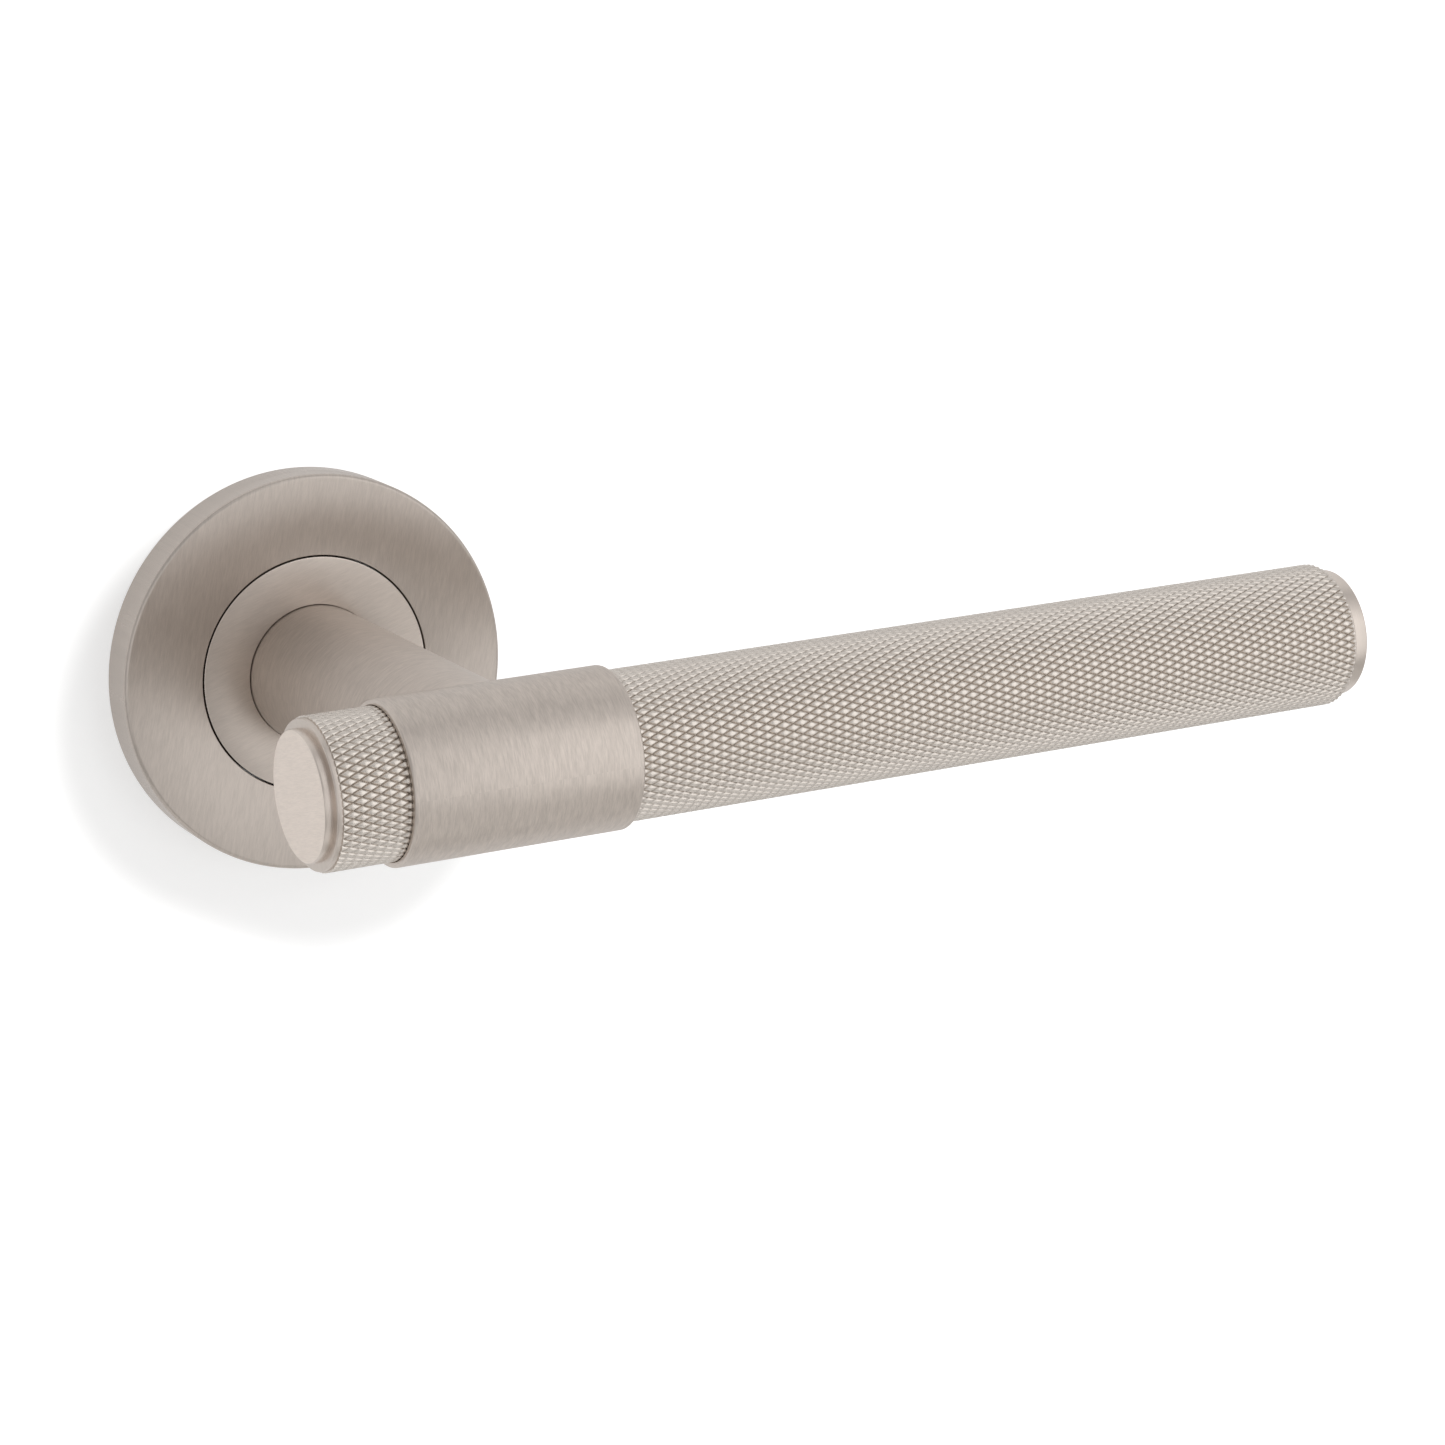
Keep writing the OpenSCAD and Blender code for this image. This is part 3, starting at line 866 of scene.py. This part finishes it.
screws = {
    "fixing_bolts_threaded": {
        "node": "fixing_bolts", "places": [(-19.0, 0.0), (19.0, 0.0)], "head": 4.0, "top": 2.4,
        "shank": 1.76, "threadFrom": -6.5, "end": -42.0, "crest": 2.0, "root": 1.62,
        "pitch": 0.7, "tip": 0.6, "tipRadius": 1.3, "socket": 2.4},
    "wood_screws_threaded": {
        "node": "wood_screws", "places": [(0.0, -20.0), (0.0, 20.0)], "head": 3.325, "top": 2.4,
        "shank": 1.54, "threadFrom": -1.0, "end": -22.0, "crest": 1.75, "root": 1.12,
        "pitch": 1.6, "tip": 5.25, "tipRadius": 0.12, "socket": 2.1},
}
thread = {
    "segments": 36,
    "rows": 10,                 # rows of vertices in one turn
    "flank": (0.25, 0.75),      # share of the way in from the root where the ridge starts and is full
    "runOut": 0.9,              # share of the tip where the thread fades
    "socketDeep": 0.8,          # share of the head's height
    "headBreak": 0.05,
    "step": 0.001,              # keeps the shank and the first row of thread apart
}


def makeScrews(size):
    pitch, start, end = size["pitch"], size["threadFrom"], size["end"]
    ridgeFrom, ridgeTo = thread["flank"]
    runOut = size["tip"] * thread["runOut"] + thread["step"]

    def hexagon(angle):
        turn = (angle + math.pi / 6) % (math.pi / 3) - math.pi / 6
        return size["socket"] / 2 / math.cos(turn)

    def threadRadius(height):
        fade = min(1.0, (start - height) / pitch) * min(1.0, (height - end) / runOut)

        def radius(angle):
            ridge = 1 - abs(((height / pitch + angle / (2 * math.pi)) % 1) - 0.5) * 2
            ridge = max(0.0, min(1.0, (ridge - ridgeFrom) / (ridgeTo - ridgeFrom)))
            taper = min(1.0, (height - end) / size["tip"])
            root = size["tipRadius"] + (size["root"] - size["tipRadius"]) * taper
            return root + (size["crest"] - size["root"]) * ridge * max(0.0, fade)
        return radius

    top, head, shank, e = size["top"], size["head"], size["shank"], thread["headBreak"]
    headDeep = head - shank
    socketEnd = top - headDeep * thread["socketDeep"]
    profile = [(0.0, socketEnd), (hexagon, socketEnd), (hexagon, top), (head - e, top), (head, top - e),
               (shank, top - headDeep), (shank, start + thread["step"])]
    rows = int((start - end) / pitch * thread["rows"])
    for row in range(rows + 1):
        height = start - (start - end) * row / rows
        profile.append((threadRadius(height), height))
    profile.append((0.0, end))

    def placeAt(x, z):
        return lambda radius, height, angle: outOfDoor(radius, height, angle) + Vector((x * mm, 0, z * mm))

    return join([turnedMesh(profile, placeAt(x, z), thread["segments"], ring=False)
                 for x, z in size["places"]])


for name, size in screws.items():
    finishPiece(makeScrews(size), name, finishes["zincPlate"], "rose", [size["node"]],
                smoothTo=50)


# Return spring: one coil with its two legs, attached to neither the rose nor the lever

spring = {
    "coil": 10.6,
    "wire": 0.65,
    "turns": 3,
    "foot": -3.0,
    "top": 1.05,
    "legOff": 2.95,
    "bend": 1.0,
    "legTip": 11.85,
    "steps": 54,                # rings of vertices in one turn
    "sides": 14,
}


def springLine(size):
    start = math.acos((size["legOff"] - size["bend"]) / size["coil"])
    sweep = 2 * math.pi * size["turns"] + math.pi - 2 * start
    rise = size["coil"] * math.sin(start)
    bends = [(size["legOff"] - size["bend"] * (1 - math.cos(math.radians(a))),
              rise + size["bend"] * (1 - math.sin(math.radians(a)))) for a in range(0, 90, 15)]
    line = [(size["legOff"], size["legTip"], size["foot"])]
    line += [(x, z, size["foot"]) for x, z in bends if z < size["legTip"]]
    steps = size["steps"] * size["turns"]
    for step in range(steps + 1):
        share = step / steps
        angle = start + share * sweep
        line.append((size["coil"] * math.cos(angle), size["coil"] * math.sin(angle),
                     size["foot"] + share * (size["top"] - size["foot"])))
    line += [(-x, z, size["top"]) for x, z in reversed(bends) if z < size["legTip"]]
    line.append((-size["legOff"], size["legTip"], size["top"]))
    return [Vector((x, -h, z)) * mm for x, z, h in line]


def makeSpring(size):
    line = springLine(size)
    shape = bmesh.new()
    sides = size["sides"]
    rings = []
    last = len(line) - 1
    for index, centre in enumerate(line):
        heading = (line[min(index + 1, last)] - line[max(index - 1, 0)]).normalized()
        across = heading.cross(Vector((0, 1, 0))).normalized()
        upward = across.cross(heading)
        rings.append([shape.verts.new(centre + (across * math.cos(2 * math.pi * k / sides)
                      + upward * math.sin(2 * math.pi * k / sides)) * size["wire"] * mm)
                      for k in range(sides)])
    for low, high in zip(rings, rings[1:]):
        for k in range(sides):
            after = (k + 1) % sides
            shape.faces.new((low[k], low[after], high[after], high[k]))
    shape.faces.new(rings[0])
    shape.faces.new(rings[-1])
    bmesh.ops.recalc_face_normals(shape, faces=shape.faces)
    return shape


coil = finishPiece(makeSpring(spring), "return_spring_coil", finishes["springSteel"], None,
                   ["return_spring"], smoothTo=40)
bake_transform(coil)
print("fixings ready")


# Parts that keep their own shape and only take a finish

keptFinishes = {
    "zincPlate": ["base_plate", "stop_pins", "driver_plate", "square_spindle", "grip_core", "joining_stud",
                  "locating_pins"],
    "springSteel": ["cover_snap_ring", "spring_washer", "retaining_ring"],
    "blackOxide": ["spindle_grub_screw"],
    "sinteredBronze": ["pivot_bush"],
    "naturalNylon": ["thrust_ring"],
}
keptSmoothTo = 30               # degrees
for finishName, members in keptFinishes.items():
    for member in members:
        mesh = nodes[member].data
        mesh.materials.clear()
        mesh.materials.append(finishes[finishName])
        mesh.polygons.foreach_set("material_index", [0] * len(mesh.polygons))
        mesh.polygons.foreach_set("use_smooth", [True] * len(mesh.polygons))
        mesh.set_sharp_from_angle(angle=math.radians(keptSmoothTo))

print("pieces ready")
